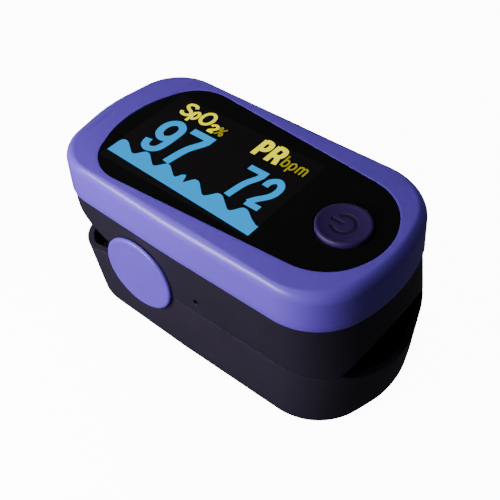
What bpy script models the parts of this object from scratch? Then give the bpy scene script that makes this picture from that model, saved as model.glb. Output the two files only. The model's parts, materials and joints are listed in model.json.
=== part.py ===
"""Fingertip pulse oximeter: two sprung jaws that clip on a fingertip, with a display on the upper one.

Blender 4.5, run with blender --background --python part.py. Dimensions are in millimetres, and the helpers
turn them into metres. +Z is up, +X points out of the finger opening, and -Y is the side with the wrist-strap
hole. The origin is the middle of the bottom face.
"""

import math

import bmesh
import bpy
from mathutils import Matrix, Vector

MM = 0.001

# The plans below are drawn from the middle of the display side, and this is the middle of the whole length.
CENTRE_X = 1.1

# Levels from the bottom up.
SEAM_Z = 14.5
COVER_BOTTOM_Z = 25.5
TOP_Z = 33.0
SEAM_GAP = 0.3

# Plan outlines: (x, y, fillet radius) of each corner from the rear centre to the front centre.
BODY_PLAN = (
    (-31.4, 0.0, 28.0),
    (-28.9, 15.85, 8.8),
    (-1.65, 16.6, 120.0),
    (27.65, 16.6, 11.0),
    (31.75, 0.0, 34.0),
)
LOWER_PLAN = (
    (-31.65, 0.0, 60.0),
    (-29.65, 16.0, 7.1),
    (-1.65, 16.6, 120.0),
    (29.7, 16.6, 11.9),
    (34.9, 0.0, 19.0),
)
WINDOW_PLAN = ((-26.5, 0.0, 36.0), (-21.0, 14.5, 8.0), (24.35, 11.0, 10.0), (29.75, 0.0, 12.4))
ARC_STEPS = 6

# How far the upper jaw's front corners, and its nose as well, run forwards for each millimetre down.
FRONT_FLARE = 0.05
LOW_FRONT_FLARE = 0.055
NOSE = 0.3
NOSE_FLARE = 0.03
LOW_NOSE_FLARE = 0.055

COVER_WALL = 1.5
COVER_ROUND = 2.3
DARK_STEP = 0.35
UPPER_WALL = 1.7
UNDERCUT_Z = 22.8
UNDERCUT_ROUND = 4.0

# Lower jaw: how far its front and rear have drawn in at the bottom, and the rounding of the bottom edge.
LOWER_STEP = 0.5
LOWER_WALL = 1.2
LOWER_FLOOR = 1.6
FRONT_DRAFT = 0.9
REAR_DRAFT = 4.0
REAR_STEP = 1.3
BOTTOM_ROUND = 3.0

# Hinge.
HINGE_X = -9.65
HINGE_Z = 15.85
SHAFT_R = 1.2
SHAFT_HALF = 14.2
DISC_R = 7.4
DISC_FACE_Y = 16.95
DISC_BACK_Y = 16.32
DISC_EDGE = 0.3
DISC_RECESS_R = 6.9
UPPER_EAR_Y = (12.6, 14.9)
LOWER_EAR_Y = (10.3, 12.2)

# Finger opening: an eye shape, and the shallow groove behind it.
EYE_HALF = 12.3
EYE_RISE = 5.4
EYE_DIP = 3.8
CHANNEL_END_X = -4.0
PAD_FRONT_X = 28.0
LOWER_PAD_FRONT_X = 23.5
PAD_THICK = 1.0
PAD_GAP = 0.2
GROOVE_HALF = 7.5
GROOVE_BOTTOM_Z = 12.0
STOP_HALF = 10.6
STOP_TOP_Z = 14.4
CRADLE_Z = 14.2
MOUTH_TILT = math.radians(12.5)
MOUTH_X = 33.6

# Parts under the window.
PANEL_BOX = ((-21.65, -10.0, 29.7), (10.35, 9.5, 31.0))
BOARD_X = (-25.5, 23.0)
BOARD_HALF = 12.5
BOARD_Z = (26.0, 27.0)
SCREW_PLACES = ((20.5, 10.4), (20.5, -10.4), (-19.5, 10.4), (-19.5, -10.4))
RIB_X = (-20.7, -18.3)

BUTTON_X = 20.55
BUTTON_R = 4.6

# Optics, both centred on this place along the finger.
OPTIC_X = 4.5
OPTIC_R = 2.6

# Two AAA cells side by side.
CELL_R = 5.2
CELL_Y = 8.9
CELL_Z = 7.05
CELL_X = (-21.2, 23.3)
CONTACT_HALF = 3.0

DOOR_X = (-34.0, 19.5)
DOOR_HALF = 11.3
DOOR_THICK = 1.5
DOOR_TONGUE = 0.8
DOOR_GAP = 0.2

FRAME_SCREW = (26.6, 2.8)
FRAME_POST_R = 1.9

# The exact solver loses faces on these thin lofted shells, and the manifold one doesn't.
THIN_SHELLS = ("top_cover", "upper_body", "lower_shell", "lower_frame")


# ---------------------------------------------------------------- helpers


def new_collection(name):
    made = bpy.data.collections.new(name)
    bpy.context.scene.collection.children.link(made)
    return made


def make_material(name, colour, roughness, metallic=0.0):
    made = bpy.data.materials.new(name)
    made.use_nodes = True
    shader = made.node_tree.nodes["Principled BSDF"]
    shader.inputs["Base Color"].default_value = (*colour, 1.0)
    shader.inputs["Roughness"].default_value = roughness
    shader.inputs["Metallic"].default_value = metallic
    made.diffuse_color = (*colour, 1.0)
    return made


def add_object(name, mesh, material, smooth=35.0):
    """A part when it has a material, else a cutter."""
    obj = bpy.data.objects.new(name, mesh)
    if material is None:
        CUTTERS.objects.link(obj)
        obj.hide_render = True
        obj.display_type = "WIRE"
        return obj
    PARTS.objects.link(obj)
    mesh.materials.append(material)
    mesh.shade_smooth()
    mesh.set_sharp_from_angle(angle=math.radians(smooth))
    return obj


def mesh_from(name, bm):
    bmesh.ops.recalc_face_normals(bm, faces=bm.faces)
    if bm.calc_volume(signed=True) < 0:
        bmesh.ops.reverse_faces(bm, faces=bm.faces)
    for vertex in bm.verts:
        vertex.co *= MM
    mesh = bpy.data.meshes.new(name)
    bm.to_mesh(mesh)
    bm.free()
    return mesh


def box(name, low, high, material=None, edge=0.0):
    """A block between two opposite corners, with its upright edges rounded."""
    low, high = Vector(low), Vector(high)
    bm = bmesh.new()
    bmesh.ops.create_cube(bm, size=1.0)
    bmesh.ops.scale(bm, vec=high - low, verts=bm.verts)
    bmesh.ops.translate(bm, vec=(low + high) / 2, verts=bm.verts)
    if edge:
        upright = [e for e in bm.edges if abs(e.verts[0].co.z - e.verts[1].co.z) > 1e-6]
        bmesh.ops.bevel(bm, geom=upright, offset=edge, segments=2, profile=0.5, affect="EDGES")
    return add_object(name, mesh_from(name, bm), material)


def cylinder(name, start, end, radius, material=None, segments=24, end_radius=None):
    """A round bar, or a cone, between two points."""
    start, end = Vector(start), Vector(end)
    along = end - start
    bm = bmesh.new()
    bmesh.ops.create_cone(
        bm,
        cap_ends=True,
        segments=segments,
        radius1=radius,
        radius2=radius if end_radius is None else end_radius,
        depth=along.length,
    )
    turn = Vector((0, 0, 1)).rotation_difference(along).to_matrix().to_4x4()
    bmesh.ops.transform(bm, matrix=Matrix.Translation((start + end) / 2) @ turn, verts=bm.verts)
    return add_object(name, mesh_from(name, bm), material)


def crossbar(name, start_y, end_y, radius, material=None, segments=24, end_radius=None):
    """A round bar or cone along the hinge's axis."""
    start, end = (HINGE_X, start_y, HINGE_Z), (HINGE_X, end_y, HINGE_Z)
    return cylinder(name, start, end, radius, material, segments, end_radius)


def fillet(before, corner, after, radius, steps):
    """Points of the arc that rounds one corner of an outline."""
    into, away = (before - corner).normalized(), (after - corner).normalized()
    half = into.angle(away) / 2
    reach = min(radius / math.tan(half), 0.499 * min((before - corner).length, (after - corner).length))
    arc_radius = reach * math.tan(half)
    centre = corner + (into + away).normalized() * (arc_radius / math.sin(half))
    first, last = corner + into * reach - centre, corner + away * reach - centre
    sweep = first.angle_signed(last)
    return [centre + Matrix.Rotation(-sweep * k / steps, 2) @ first for k in range(steps + 1)]


def outline(corners, steps=ARC_STEPS):
    """A closed outline that is symmetric about Y = 0, as 2D points that run clockwise seen from above."""
    mirrored = [(x, -y, r) for x, y, r in corners[-2:0:-1]]
    full = list(corners) + mirrored
    places = [Vector((x, y)) for x, y, _ in full]
    points = []
    for k, place in enumerate(places):
        after = places[(k + 1) % len(places)]
        points += fillet(places[k - 1], place, after, full[k][2], steps)
    return points


def inset(points, distance):
    """The outline moved inwards by a distance."""
    moved = []
    for k, point in enumerate(points):
        along = (points[(k + 1) % len(points)] - points[k - 1]).normalized()
        moved.append(point + Vector((along.y, -along.x)) * distance)
    return moved


def loft(name, sections, material=None):
    """A solid through outlines of the same number of points, given as (z, points) from the bottom up."""
    bm = bmesh.new()
    rings = [[bm.verts.new((p.x, p.y, z)) for p in points] for z, points in sections]
    for lower, upper in zip(rings, rings[1:]):
        for k in range(len(lower)):
            after = (k + 1) % len(lower)
            bm.faces.new((lower[k], lower[after], upper[after], upper[k]))
    bm.faces.new(rings[0])
    bm.faces.new(rings[-1])
    return add_object(name, mesh_from(name, bm), material)


def extrusion(name, points, axis, low, high, material=None):
    """A flat outline pushed along an axis: points are (x, y) for Z, (x, z) for Y and (y, z) for X."""
    curve = bpy.data.curves.new(name, "CURVE")
    curve.dimensions = "2D"
    curve.fill_mode = "BOTH"
    curve.extrude = (high - low) / 2
    spline = curve.splines.new("POLY")
    spline.points.add(len(points) - 1)
    for slot, (u, v) in zip(spline.points, points):
        slot.co = (u, v, 0.0, 1.0)
    spline.use_cyclic_u = True
    flat = bpy.data.objects.new(name + "_outline", curve)
    CUTTERS.objects.link(flat)
    bpy.context.view_layer.update()
    mesh = bpy.data.meshes.new_from_object(flat.evaluated_get(bpy.context.evaluated_depsgraph_get()))
    bpy.data.objects.remove(flat)
    bm = bmesh.new()
    bm.from_mesh(mesh)
    bmesh.ops.remove_doubles(bm, verts=bm.verts, dist=1e-4)
    middle = (low + high) / 2
    for vertex in bm.verts:
        u, v, w = vertex.co
        w += middle
        vertex.co = {"Z": (u, v, w), "Y": (u, w, v), "X": (w, u, v)}[axis]
    return add_object(name, mesh_from(name, bm), material)


def turned(name, profile, centre, material=None, steps=32):
    """A round piece on a Z axis: the profile is (radius, z) from the top of the axis, down its outer side."""
    bm = bmesh.new()
    spots = [bm.verts.new((r * MM, 0.0, z * MM)) for r, z in profile]
    for upper, lower in zip(spots, spots[1:]):
        bm.edges.new((upper, lower))
    mesh = bpy.data.meshes.new(name)
    bm.to_mesh(mesh)
    bm.free()
    obj = add_object(name, mesh, material)
    obj.location = Vector(centre) * MM
    screw = obj.modifiers.new("Turn", "SCREW")
    screw.steps = screw.render_steps = steps
    screw.use_merge_vertices = True
    screw.merge_threshold = 1e-5
    screw.use_smooth_shade = False
    return obj


def wire(name, path, radius, material):
    """A bent round wire through 3D points."""
    curve = bpy.data.curves.new(name, "CURVE")
    curve.dimensions = "3D"
    curve.bevel_depth = radius * MM
    curve.bevel_resolution = 2
    curve.use_fill_caps = True
    spline = curve.splines.new("POLY")
    spline.points.add(len(path) - 1)
    for slot, place in zip(spline.points, path):
        slot.co = (*(Vector(place) * MM), 1.0)
    obj = bpy.data.objects.new(name, curve)
    PARTS.objects.link(obj)
    curve.materials.append(material)
    return obj


def ribbon(name, path, thickness, half_width, material):
    """A flat ribbon that follows (x, z) points, as wide as it is along Y."""
    path = [Vector(p) for p in path]
    sides = []
    for k, place in enumerate(path):
        along = (path[min(k + 1, len(path) - 1)] - path[max(k - 1, 0)]).normalized()
        across = Vector((-along.y, along.x)) * (thickness / 2)
        sides.append((place + across, place - across))
    loop = [left for left, _ in sides] + [right for _, right in reversed(sides)]
    return extrusion(name, loop, "Y", -half_width, half_width, material)


def boolean(obj, other, operation):
    modifier = obj.modifiers.new(operation.title(), "BOOLEAN")
    modifier.operation = operation
    modifier.solver = "MANIFOLD" if obj.name in THIN_SHELLS else "EXACT"
    modifier.object = other


def cut(obj, *cutters):
    for cutter in cutters:
        boolean(obj, cutter, "DIFFERENCE")


def join(obj, *others):
    for other in others:
        boolean(obj, other, "UNION")


def arc_points(half, sagitta, edge_z, up, steps=16):
    """Points (y, z) of an arc from -half to half whose middle is the sagitta above or below its ends."""
    radius = (half * half + sagitta * sagitta) / (2 * sagitta)
    span = math.asin(half / radius)
    sign = 1 if up else -1
    centre_z = edge_z + sign * (sagitta - radius)
    angles = [span * (2 * k / steps - 1) for k in range(steps + 1)]
    return [(radius * math.sin(a), centre_z + sign * radius * math.cos(a)) for a in angles]


def raised(points, distance):
    return [(y, z + distance) for y, z in points]


# ---------------------------------------------------------------- plan shapes


def moved_plan(corners, front=0.0, rear=0.0, nose=0.0):
    """The plan with its front and rear corners shifted along X, and the nose at the front centre further still."""
    moved = [(x + (front if x > 10 else rear if x < -10 else 0.0), y, r) for x, y, r in corners]
    x, y, r = moved[-1]
    return moved[:-1] + [(x + nose, y, r)]


def flared_plan(z, rear=0.0):
    """Upper jaw outline at a height: its front leans forwards on the way down, and more so under the cover."""
    drop, low = TOP_Z - z, max(COVER_BOTTOM_Z - z, 0.0)
    front = FRONT_FLARE * drop + LOW_FRONT_FLARE * low
    nose = NOSE + NOSE_FLARE * drop + LOW_NOSE_FLARE * low
    return outline(moved_plan(BODY_PLAN, front, rear, nose))


def upper_plan(z, depth):
    """Upper jaw outline at a height, moved inwards by a depth."""
    return inset(flared_plan(z), depth)


def undercut_plan(z, depth):
    """Upper jaw outline with its rear face curving forwards under the tail."""
    drop = min(max(UNDERCUT_Z - z, 0.0), UNDERCUT_ROUND)
    shift = UNDERCUT_ROUND - math.sqrt(UNDERCUT_ROUND**2 - drop**2)
    return inset(flared_plan(z, shift), depth)


def lower_plan(z, depth):
    """Lower jaw outline at a height: it draws in towards the bottom, and its bottom edge is rounded."""
    share = (SEAM_Z - z) / SEAM_Z
    rear = REAR_STEP + REAR_DRAFT * share
    low = max(BOTTOM_ROUND - z, 0.0)
    rounding = BOTTOM_ROUND - math.sqrt(BOTTOM_ROUND**2 - low**2)
    plan = outline(moved_plan(LOWER_PLAN, -FRONT_DRAFT * share, rear))
    return inset(plan, depth + LOWER_STEP + rounding)


def stack(plan, heights, depth):
    return [(z, plan(z, depth)) for z in heights]


def eye(name, x_low, x_high):
    """Cutter for the upper half of the finger opening, running along X."""
    top = arc_points(EYE_HALF, EYE_RISE, SEAM_Z, True)
    return extrusion(name, [(-EYE_HALF, SEAM_Z - 3)] + top + [(EYE_HALF, SEAM_Z - 3)], "X", x_low, x_high)


# ---------------------------------------------------------------- upper jaw


def make_top_cover():
    turns = [math.radians(a) for a in (0, 18, 36, 54, 72, 90)]
    sections = [(COVER_BOTTOM_Z, upper_plan(COVER_BOTTOM_Z, 0.25))]
    sections.append((COVER_BOTTOM_Z + 0.3, upper_plan(COVER_BOTTOM_Z, 0.0)))
    for turn in turns:
        z = TOP_Z - COVER_ROUND * (1 - math.sin(turn))
        sections.append((z, upper_plan(z, COVER_ROUND * (1 - math.cos(turn)))))
    cover = loft("top_cover", sections, VIOLET)
    cavity = loft("cover_cavity", stack(upper_plan, (COVER_BOTTOM_Z - 2, 31.2), COVER_WALL))
    rebate = loft("window_rebate", [(31.6, outline(WINDOW_PLAN)), (TOP_Z + 1, outline(WINDOW_PLAN))])
    opening = [(z, inset(outline(WINDOW_PLAN), 1.6)) for z in (30.0, 32.5)]
    cut(cover, cavity, rebate, loft("window_opening", opening))


def make_window():
    plan = outline(WINDOW_PLAN)
    levels = ((31.9, 0.3), (32.75, 0.3), (32.95, 0.5))
    window = loft("display_window", [(z, inset(plan, d)) for z, d in levels], GLOSS_BLACK)
    cut(window, cylinder("button_hole", (BUTTON_X, 0, 30), (BUTTON_X, 0, 35), BUTTON_R + 0.25, segments=32))


def make_button():
    profile = [(0.0, 33.35), (1.8, 33.4), (3.2, 33.6), (3.9, 33.75), (4.3, 33.65), (BUTTON_R, 33.3)]
    profile += [(BUTTON_R, 31.6), (5.7, 31.5), (5.7, 30.7), (0.0, 30.7)]
    button = turned("power_button", profile, (BUTTON_X, 0, 0), BUTTON_VIOLET)
    plunger = cylinder("switch_plunger", (BUTTON_X, 0, 28.35), (BUTTON_X, 0, 30.4), 1.3, WHITE, 16)
    return [button, plunger]


def make_display():
    low, high = PANEL_BOX
    box("oled_panel", low, high, PANEL)
    rim, gap = Vector((2.2, 2.2, 0.4)), Vector((0.3, 0.3, 2.0))
    top = (high[0] + rim.x, high[1] + rim.y, high[2])
    bezel = box("display_bezel", Vector(low) - rim, top, BLACK, edge=1.0)
    cut(bezel, box("bezel_opening", Vector(low) - gap, Vector(high) + gap))
    path = [(5.0, 29.4), (8.9, 29.4), (9.9, 29.25), (10.8, 28.85), (11.7, 28.6), (14.1, 28.55)]
    ribbon("display_flex", path, 0.2, 4.0, AMBER)


def make_board():
    low_z, high_z = BOARD_Z
    half = BOARD_HALF
    plan = [(BOARD_X[0], 0.0, 1.0), (BOARD_X[0], half, 3.0), (BOARD_X[1], half, 4.0), (BOARD_X[1], 0.0, 1.0)]
    board = extrusion("main_board", outline(plan, 3), "Z", low_z, high_z, BOARD_GREEN)
    for k, (x, y) in enumerate(SCREW_PLACES):
        cut(board, cylinder(f"board_hole_{k + 1}", (x, y, 25), (x, y, 28), 1.15, segments=12))
        screw = cylinder(f"board_screw_{k + 1}", (x, y, 22.9), (x, y, 27.6), 0.85, STEEL, 12)
        join(screw, cylinder(f"board_screw_head_{k + 1}", (x, y, 27.15), (x, y, 28.3), 1.8, segments=12))
    chip_z = high_z + 0.1
    box("processor_chip", (-11.0, -3.5, chip_z), (-4.0, 3.5, chip_z + 1.0), CHIP)
    box("amplifier_chip", (1.5, 4.5, chip_z), (6.5, 9.0, chip_z + 1.0), CHIP)
    box("memory_chip", (-3.5, -9.5, chip_z), (1.5, -5.5, chip_z + 1.0), CHIP)
    box("clock_crystal", (-15.5, -8.0, chip_z), (-12.3, -5.6, chip_z + 0.8), STEEL, edge=0.4)
    box("flex_connector", (11.9, -4.6, chip_z), (15.1, 4.6, chip_z + 1.2), WHITE)
    box("tactile_switch", (BUTTON_X - 2.4, -2.4, chip_z), (BUTTON_X + 2.4, 2.4, 27.65), BLACK)
    cylinder("buzzer", (-14.2, 7.4, chip_z), (-14.2, 7.4, 29.1), 3.6, BLACK)


def make_upper_body():
    wall_heights = (SEAM_Z + SEAM_GAP, 17.0, 18.8, 19.2, 19.9, 20.8, 21.8, UNDERCUT_Z, COVER_BOTTOM_Z - 0.2)
    body = loft("upper_body", stack(undercut_plan, wall_heights, DARK_STEP), DARK)
    lip = loft("register_lip", stack(upper_plan, (24.0, 27.2), COVER_WALL + 0.3))
    join(body, lip)
    inner = DARK_STEP + UPPER_WALL
    pocket_top = stack(undercut_plan, (22.2, 24.0, 28.0), inner + 0.8)
    cut(body, loft("upper_pocket", pocket_top))
    rear_heights = (12.0, 17.0, 18.8, 19.2, 19.9, 20.8, 21.8, UNDERCUT_Z, 24.0, 28.0)
    rear = loft("upper_rear_space", stack(undercut_plan, rear_heights, inner))
    boolean(rear, box("rear_half", (-40, -20, 5), (CHANNEL_END_X - 1.4, 20, 30)), "INTERSECT")
    cut(body, rear)

    notch = [(HINGE_X + 1.2, 14.0), (HINGE_X + 1.2, 14.9), (HINGE_X, 14.9), (-17.0, 18.2), (-30.5, 18.9)]
    notch += [(-40.0, 19.2), (-40.0, 5.0), (HINGE_X, 5.0)]
    cut(body, extrusion("tail_notch", notch, "Y", -20, 20))

    cut(body, eye("upper_mouth", CHANNEL_END_X - 0.2, 45))
    deep = raised(arc_points(EYE_HALF, EYE_RISE, SEAM_Z, True), PAD_THICK + PAD_GAP * 2)
    deep = [(-EYE_HALF, SEAM_Z - 3)] + deep + [(EYE_HALF, SEAM_Z - 3)]
    cut(body, extrusion("upper_pad_space", deep, "X", CHANNEL_END_X, PAD_FRONT_X + PAD_GAP))
    cut(body, cylinder("emitter_hole", (OPTIC_X, 0, 19), (OPTIC_X, 0, 24), OPTIC_R + 0.4))

    rib = box("tail_rib", (RIB_X[0], -14.35, 23.0), (RIB_X[1], 14.35, 25.7))
    join(body, rib)
    for k, (x, y) in enumerate(SCREW_PLACES):
        floor = 23.2 if x < 0 else 21.5
        boss = cylinder(f"board_boss_{k + 1}", (x, y, floor), (x, y, BOARD_Z[0] - 0.2), 2.1, segments=16)
        join(body, boss)
        cut(body, cylinder(f"boss_bore_{k + 1}", (x, y, 22.7), (x, y, 27), 1.1, segments=12))

    for side in (1, -1):
        near, far = (side * y for y in UPPER_EAR_Y)
        cut(body, crossbar(f"upper_recess_{side}", side * 15.2, side * 20, DISC_RECESS_R, segments=40))
        low, high = (HINGE_X - 2.7, min(near, far), HINGE_Z - 0.4), (HINGE_X + 2.7, max(near, far), 24.5)
        ear = box(f"upper_ear_{side}", low, high)
        join(body, ear, crossbar(f"upper_ear_end_{side}", near, far, 2.8))
        cut(body, crossbar(f"upper_ear_bore_{side}", side * 11, side * 18, SHAFT_R + 0.25, segments=20))
    hole = (3.45, -13.0, 17.4), (3.45, -20.0, 17.4)
    cut(body, cylinder("strap_hole", *hole, 0.55, segments=12))
    return body


def make_upper_pad():
    low = arc_points(EYE_HALF - 0.4, EYE_RISE - 0.1, SEAM_Z, True)
    high = raised(low, PAD_THICK)
    pad = extrusion("upper_finger_pad", low + high[::-1], "X", CHANNEL_END_X + PAD_GAP, PAD_FRONT_X, RUBBER)
    trim = box("upper_pad_trim", (-10, -20, 10), (40, 20, SEAM_Z + 0.9))
    cut(pad, trim)
    cut(pad, cylinder("emitter_window_hole", (OPTIC_X, 0, 18), (OPTIC_X, 0, 23), OPTIC_R + 0.2))


def make_emitter():
    cylinder("emitter_window", (OPTIC_X, 0, 19.95), (OPTIC_X, 0, 20.8), OPTIC_R, CLEAR)
    box("led_emitter", (OPTIC_X - 1.8, -1.5, 21.1), (OPTIC_X + 1.8, 1.5, 22.1), WHITE)
    box("emitter_board", (OPTIC_X - 6, -4.5, 22.4), (OPTIC_X + 6, 4.5, 23.2), BOARD_GREEN)
    box("emitter_connector", (OPTIC_X + 2.2, -3.0, 23.4), (OPTIC_X + 4.6, 3.0, 25.8), WHITE)


def make_discs():
    made = []
    for side, word in ((-1, "left"), (1, "right")):
        edge, face = side * (DISC_FACE_Y - DISC_EDGE), side * DISC_FACE_Y
        disc = crossbar(f"hinge_disc_{word}", side * DISC_BACK_Y, edge, DISC_R, VIOLET, 48)
        small = DISC_R - DISC_EDGE
        rim = crossbar(f"disc_face_{word}", edge - side * 0.01, face, DISC_R, segments=48, end_radius=small)
        boss = crossbar(f"disc_boss_{word}", side * 15.3, side * (DISC_BACK_Y + 0.2), 5.0, segments=32)
        join(disc, rim, boss)
        made.append(disc)
    return made


# ---------------------------------------------------------------- lower jaw


def mouth_cutter(name):
    """The scoop at the front of the lower jaw: the eye's lower arc, rising towards the inside."""
    dip = arc_points(EYE_HALF + 0.6, EYE_DIP, SEAM_Z, False)
    top = [(EYE_HALF + 0.6, SEAM_Z + 12), (-EYE_HALF - 0.6, SEAM_Z + 12)]
    scoop = extrusion(name, dip + top, "X", -12, 12)
    pivot = Vector((MOUTH_X, 0, SEAM_Z - EYE_DIP)) * MM
    tilt = Matrix.Translation(pivot) @ Matrix.Rotation(MOUTH_TILT, 4, "Y")
    centre = Matrix.Translation(-Vector((0, 0, SEAM_Z - EYE_DIP)) * MM)
    scoop.data.transform(tilt @ centre)
    return scoop


def groove_top(depth):
    """Points (y, z) of the finger rest: flat over the cells with a shallow groove between them."""
    sagitta = CRADLE_Z - GROOVE_BOTTOM_Z
    return raised(arc_points(GROOVE_HALF, sagitta, CRADLE_Z, False, 12), -depth)


def rest_profile(half, upper_depth, lower_depth):
    """A layer of the finger rest between two depths under its surface."""
    top = [(-half, CRADLE_Z - upper_depth)] + groove_top(upper_depth) + [(half, CRADLE_Z - upper_depth)]
    bottom = [(-half, CRADLE_Z - lower_depth)] + groove_top(lower_depth) + [(half, CRADLE_Z - lower_depth)]
    return top + bottom[::-1]


def make_lower_shell():
    heights = (0.0, 0.35, 1.1, 2.3, BOTTOM_ROUND, 9.0, SEAM_Z)
    shell = loft("lower_shell", stack(lower_plan, heights, 0.0), DARK)
    inner_heights = (LOWER_FLOOR, 2.3, BOTTOM_ROUND, 9.0, SEAM_Z, SEAM_Z + 2)
    cut(shell, loft("lower_cavity", stack(lower_plan, inner_heights, LOWER_WALL)))

    for side in (1, -1):
        x, y = FRAME_SCREW[0], side * FRAME_SCREW[1]
        foot = (x, y, LOWER_FLOOR - 0.3)
        join(shell, cylinder(f"frame_post_{side}", foot, (x, y, 8.2), FRAME_POST_R, segments=20))
        cut(shell, cylinder(f"frame_screw_well_{side}", (x, y, -1), (x, y, 5.0), 1.5, segments=16))
        cut(shell, cylinder(f"frame_screw_way_{side}", (x, y, 4), (x, y, 9), 1.05, segments=12))

    tail = [(-16.4, 15.5), (-16.4, SEAM_Z - 0.05), (-18.4, 14.35), (-20.4, 13.95), (-22.4, 13.3)]
    tail += [(-25.4, 12.8), (-40.0, 12.4), (-40.0, 16.0)]
    cut(shell, extrusion("shell_tail_cut", tail, "Y", -20, 20))
    cut(shell, mouth_cutter("shell_mouth"))

    half = DOOR_HALF + DOOR_GAP
    front = DOOR_X[1] + DOOR_GAP
    cut(shell, box("door_opening", (-40, -half, -1), (front, half, LOWER_FLOOR + 0.15)))
    wide = half + DOOR_TONGUE
    cut(shell, box("door_grooves", (-40, -wide, 0.4), (front, wide, 1.25)))

    for side in (1, -1):
        cut(shell, crossbar(f"shell_recess_{side}", side * 15.2, side * 20, DISC_RECESS_R, segments=40))
        cut(shell, crossbar(f"ear_sweep_{side}", side * 12, side * 15.4, 3.3))


def make_lower_frame():
    layer = rest_profile(20, PAD_THICK + 0.15, PAD_THICK + 0.8)
    frame = extrusion("lower_frame", layer, "X", -22, LOWER_PAD_FRONT_X + 1.6, DARK_INNER)
    block = [(-13.5, 10.4), (-13.5, CRADLE_Z), (13.5, CRADLE_Z), (13.5, 10.4)]
    block += [(5.2, 10.4), (5.2, 8.6), (-5.2, 8.6), (-5.2, 10.4)]
    join(frame, extrusion("mouth_block", block, "X", LOWER_PAD_FRONT_X + 0.2, 38))
    plug = stack(lower_plan, (5.0, 9.0, SEAM_Z - 0.05), LOWER_WALL + 0.25)
    boolean(frame, loft("frame_limit", plug), "INTERSECT")
    cut(frame, mouth_cutter("frame_mouth"))
    groove = groove_top(0.0)
    groove = groove + [(GROOVE_HALF, 20), (-GROOVE_HALF, 20)]
    cut(frame, extrusion("frame_groove", groove, "X", 20, 40))

    stop = [(-STOP_HALF, STOP_TOP_Z), (STOP_HALF, STOP_TOP_Z)] + groove_top(PAD_THICK + 0.4)[::-1]
    join(frame, extrusion("finger_stop", stop, "X", CHANNEL_END_X - 1.6, CHANNEL_END_X - 0.2))

    band_heights = (12.0, 15.0, 16.5, 17.5, 18.0, 18.25)
    band_depths = (0.0, 0.0, 0.15, 0.55, 1.15, 1.9)
    depth = DARK_STEP + UPPER_WALL + 0.3
    band = loft("frame_band", [(z, band_plan(depth + d)) for z, d in zip(band_heights, band_depths)])
    boolean(band, box("band_half", (-40, -20, 5), (-15.4, 20, 30)), "INTERSECT")
    cut(band, loft("band_space", [(z, band_plan(depth + 1.2)) for z in (5.0, 17.1)]))
    join(frame, band)

    for side in (1, -1):
        near, far = sorted(side * y for y in LOWER_EAR_Y)
        ear = box(f"lower_ear_{side}", (HINGE_X - 2.5, near, 12.7), (HINGE_X + 2.5, far, HINGE_Z + 0.4))
        join(frame, ear, crossbar(f"lower_ear_end_{side}", near, far, 2.6))
        cut(frame, crossbar(f"lower_ear_bore_{side}", side * 9, side * 13, SHAFT_R + 0.25, segments=20))
        low, high = sorted((side * 12.35, side * 20))
        cut(frame, box(f"ear_room_{side}", (HINGE_X - 4.5, low, 10), (HINGE_X + 4.5, high, 16)))
        x, y = FRAME_SCREW[0], side * FRAME_SCREW[1]
        cut(frame, cylinder(f"frame_pilot_{side}", (x, y, 8), (x, y, 10.9), 1.05, segments=12))
    cut(frame, box("flex_slot", (-14.9, -3.2, 5), (-12.5, 3.2, 20)))
    cut(frame, cylinder("sensor_hole", (OPTIC_X, 0, 9), (OPTIC_X, 0, 12), OPTIC_R + 0.4))


def band_plan(depth):
    """Outline of the recessed band at the tail of the lower jaw, which slides up inside the upper jaw."""
    return inset(outline(moved_plan(BODY_PLAN, rear=UNDERCUT_ROUND)), depth)


def make_lower_pad():
    profile = rest_profile(13.0, 0.0, PAD_THICK)
    pad = extrusion("lower_finger_pad", profile, "X", CHANNEL_END_X + 0.4, LOWER_PAD_FRONT_X, RUBBER)
    cut(pad, cylinder("sensor_window_hole", (OPTIC_X, 0, 10), (OPTIC_X, 0, 14), OPTIC_R + 0.2))


def make_sensor():
    cylinder("sensor_window", (OPTIC_X, 0, 11.15), (OPTIC_X, 0, 11.95), OPTIC_R, CLEAR)
    box("photodiode", (OPTIC_X - 1.7, -1.7, 9.9), (OPTIC_X + 1.7, 1.7, 10.9), CHIP)
    box("sensor_board", (OPTIC_X - 5, -2.7, 8.9), (OPTIC_X + 5, 2.7, 9.7), BOARD_GREEN)


def make_cells():
    for number, side in ((1, -1), (2, 1)):
        y = side * CELL_Y
        low, high = CELL_X
        nub = high if side < 0 else low
        body = (low, high - 0.9) if side < 0 else (low + 0.9, high)
        cell = cylinder(f"battery_{number}", (body[0], y, CELL_Z), (body[1], y, CELL_Z), CELL_R, CELL, 32)
        inner = body[1] - 0.5 if side < 0 else body[0] + 0.5
        join(cell, cylinder(f"battery_nub_{number}", (inner, y, CELL_Z), (nub, y, CELL_Z), 1.8, segments=16))


def make_contacts():
    """Spring contacts at each cell's flat end, and plates at the nub ends."""
    for name, side, at, outward in (
        ("spring_contact_1", -1, CELL_X[0], -1),
        ("spring_contact_2", 1, CELL_X[1], 1),
    ):
        turns, per_turn, length = 3, 10, 1.9
        points = []
        for k in range(turns * per_turn + 1):
            share = k / (turns * per_turn)
            angle = 2 * math.pi * k / per_turn
            radius = 1.5 + 1.5 * share
            x = at + outward * (0.45 + (length - 0.8) * share)
            points.append((x, side * CELL_Y + radius * math.cos(angle), CELL_Z + radius * math.sin(angle)))
        wire(name, points, 0.22, STEEL)
    for name, side, at, outward in (
        ("plate_contact_1", -1, CELL_X[1], 1),
        ("plate_contact_2", 1, CELL_X[0], -1),
    ):
        near, far = sorted((at + outward * 0.25, at + outward * 0.65))
        low = (near, side * CELL_Y - CONTACT_HALF, CELL_Z - CONTACT_HALF)
        high = (far, side * CELL_Y + CONTACT_HALF, CELL_Z + CONTACT_HALF)
        box(name, low, high, STEEL)


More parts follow.
